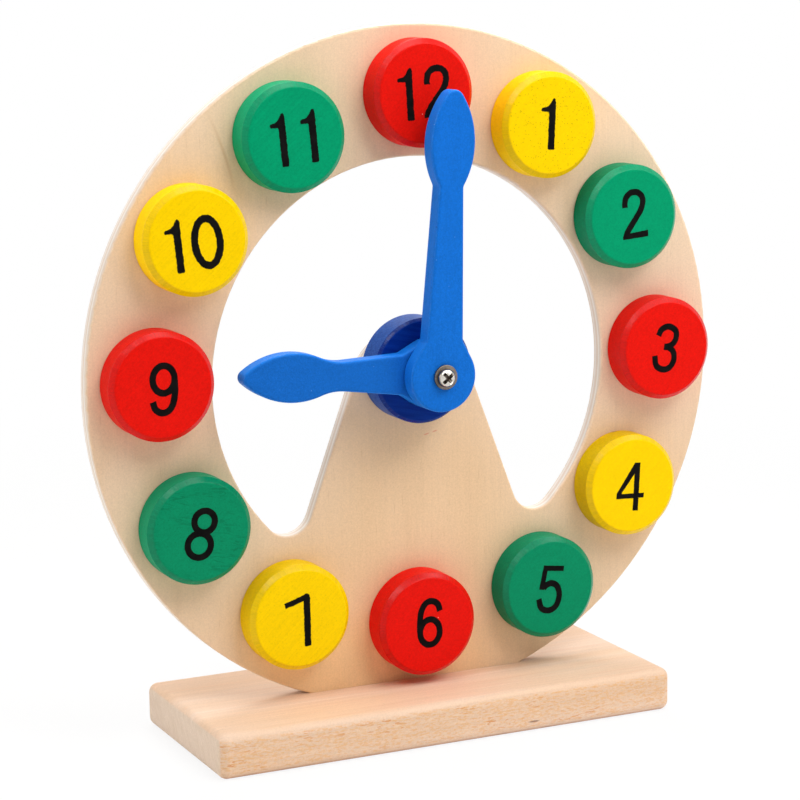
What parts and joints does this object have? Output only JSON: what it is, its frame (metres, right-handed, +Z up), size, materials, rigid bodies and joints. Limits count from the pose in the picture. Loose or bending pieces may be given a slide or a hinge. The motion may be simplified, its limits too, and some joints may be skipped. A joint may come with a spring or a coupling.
{
  "type": "teaching clock",
  "caption": "Round wooden dial board with pull-out coloured number discs and blue turning hands, standing upright in a flat rectangular base.",
  "frame": {"origin": "on the plane the base stands on, under the dial board's middle in X and at the middle of the base's depth in Y", "axes": "+Z up, +X to the right seen from the front, -Y is where the dial faces"},
  "size_m": [0.216, 0.066, 0.2232],
  "materials": {
    "beech": "sanded, oiled",
    "birch_plywood": "sanded, bare",
    "navy_paint": "satin paint",
    "blue_paint": "satin paint",
    "red_paint": "satin paint",
    "yellow_paint": "satin paint",
    "green_paint": "satin paint",
    "dowel_wood": "bare",
    "washer_steel": "dull zinc",
    "screw_steel": "nickel plated",
    "number_ink": "matt ink"
  },
  "bodies": {
    "clock": {"base": "beech", "clock_board": "birch_plywood", "hub_disc": "navy_paint", "hand_washer": "washer_steel", "hand_screw": "screw_steel"},
    "hour": {"hour_hand": "blue_paint"},
    "minute": {"minute_hand": "blue_paint"},
    "dowel_01": {"disc_dowel_01": "dowel_wood"},
    "disc_01": {"number_disc_01": "yellow_paint"},
    "dowel_02": {"disc_dowel_02": "dowel_wood"},
    "disc_02": {"number_disc_02": "green_paint"},
    "dowel_03": {"disc_dowel_03": "dowel_wood"},
    "disc_03": {"number_disc_03": "red_paint"},
    "dowel_04": {"disc_dowel_04": "dowel_wood"},
    "disc_04": {"number_disc_04": "yellow_paint"},
    "dowel_05": {"disc_dowel_05": "dowel_wood"},
    "disc_05": {"number_disc_05": "green_paint"},
    "dowel_06": {"disc_dowel_06": "dowel_wood"},
    "disc_06": {"number_disc_06": "red_paint"},
    "dowel_07": {"disc_dowel_07": "dowel_wood"},
    "disc_07": {"number_disc_07": "yellow_paint"},
    "dowel_08": {"disc_dowel_08": "dowel_wood"},
    "disc_08": {"number_disc_08": "green_paint"},
    "dowel_09": {"disc_dowel_09": "dowel_wood"},
    "disc_09": {"number_disc_09": "red_paint"},
    "dowel_10": {"disc_dowel_10": "dowel_wood"},
    "disc_10": {"number_disc_10": "yellow_paint"},
    "dowel_11": {"disc_dowel_11": "dowel_wood"},
    "disc_11": {"number_disc_11": "green_paint"},
    "dowel_12": {"disc_dowel_12": "dowel_wood"},
    "disc_12": {"number_disc_12": "red_paint"}
  },
  "joints": [
    {"name": "hour_hand_turn", "type": "hinge", "parent": "clock", "child": "hour", "pos_m": [0, -0.01685, 0.1158], "axis": [0, 1, 0], "continuous": true},
    {"name": "minute_hand_turn", "type": "hinge", "parent": "clock", "child": "minute", "pos_m": [0, -0.0231, 0.1158], "axis": [0, 1, 0], "continuous": true},
    {"name": "disc_01_pull", "type": "slide", "parent": "clock", "child": "dowel_01", "axis": [0, -1, 0], "range_m": [0, 0.006]},
    {"name": "disc_02_pull", "type": "slide", "parent": "clock", "child": "dowel_02", "axis": [0, -1, 0], "range_m": [0, 0.006]},
    {"name": "disc_03_pull", "type": "slide", "parent": "clock", "child": "dowel_03", "axis": [0, -1, 0], "range_m": [0, 0.006]},
    {"name": "disc_04_pull", "type": "slide", "parent": "clock", "child": "dowel_04", "axis": [0, -1, 0], "range_m": [0, 0.006]},
    {"name": "disc_05_pull", "type": "slide", "parent": "clock", "child": "dowel_05", "axis": [0, -1, 0], "range_m": [0, 0.006]},
    {"name": "disc_06_pull", "type": "slide", "parent": "clock", "child": "dowel_06", "axis": [0, -1, 0], "range_m": [0, 0.006]},
    {"name": "disc_07_pull", "type": "slide", "parent": "clock", "child": "dowel_07", "axis": [0, -1, 0], "range_m": [0, 0.006]},
    {"name": "disc_08_pull", "type": "slide", "parent": "clock", "child": "dowel_08", "axis": [0, -1, 0], "range_m": [0, 0.006]},
    {"name": "disc_09_pull", "type": "slide", "parent": "clock", "child": "dowel_09", "axis": [0, -1, 0], "range_m": [0, 0.006]},
    {"name": "disc_10_pull", "type": "slide", "parent": "clock", "child": "dowel_10", "axis": [0, -1, 0], "range_m": [0, 0.006]},
    {"name": "disc_11_pull", "type": "slide", "parent": "clock", "child": "dowel_11", "axis": [0, -1, 0], "range_m": [0, 0.006]},
    {"name": "disc_12_pull", "type": "slide", "parent": "clock", "child": "dowel_12", "axis": [0, -1, 0], "range_m": [0, 0.006]},
    {"name": "disc_01_twist", "type": "hinge", "parent": "dowel_01", "child": "disc_01", "pos_m": [0.0449, -0.0083, 0.19047], "axis": [0, 1, 0], "continuous": true},
    {"name": "disc_02_twist", "type": "hinge", "parent": "dowel_02", "child": "disc_02", "pos_m": [0.07467, -0.0083, 0.1598], "axis": [0, 1, 0], "continuous": true},
    {"name": "disc_03_twist", "type": "hinge", "parent": "dowel_03", "child": "disc_03", "pos_m": [0.0873, -0.0083, 0.1158], "axis": [0, 1, 0], "continuous": true},
    {"name": "disc_04_twist", "type": "hinge", "parent": "dowel_04", "child": "disc_04", "pos_m": [0.07467, -0.0083, 0.0714], "axis": [0, 1, 0], "continuous": true},
    {"name": "disc_05_twist", "type": "hinge", "parent": "dowel_05", "child": "disc_05", "pos_m": [0.0439, -0.0083, 0.04063], "axis": [0, 1, 0], "continuous": true},
    {"name": "disc_06_twist", "type": "hinge", "parent": "dowel_06", "child": "disc_06", "pos_m": [0, -0.0083, 0.0339], "axis": [0, 1, 0], "continuous": true},
    {"name": "disc_07_twist", "type": "hinge", "parent": "dowel_07", "child": "disc_07", "pos_m": [-0.0439, -0.0083, 0.04163], "axis": [0, 1, 0], "continuous": true},
    {"name": "disc_08_twist", "type": "hinge", "parent": "dowel_08", "child": "disc_08", "pos_m": [-0.07617, -0.0083, 0.0729], "axis": [0, 1, 0], "continuous": true},
    {"name": "disc_09_twist", "type": "hinge", "parent": "dowel_09", "child": "disc_09", "pos_m": [-0.0868, -0.0083, 0.1182], "axis": [0, 1, 0], "continuous": true},
    {"name": "disc_10_twist", "type": "hinge", "parent": "dowel_10", "child": "disc_10", "pos_m": [-0.07467, -0.0083, 0.1612], "axis": [0, 1, 0], "continuous": true},
    {"name": "disc_11_twist", "type": "hinge", "parent": "dowel_11", "child": "disc_11", "pos_m": [-0.0424, -0.0083, 0.19047], "axis": [0, 1, 0], "continuous": true},
    {"name": "disc_12_twist", "type": "hinge", "parent": "dowel_12", "child": "disc_12", "pos_m": [0.001, -0.0083, 0.2021], "axis": [0, 1, 0], "continuous": true}
  ]
}
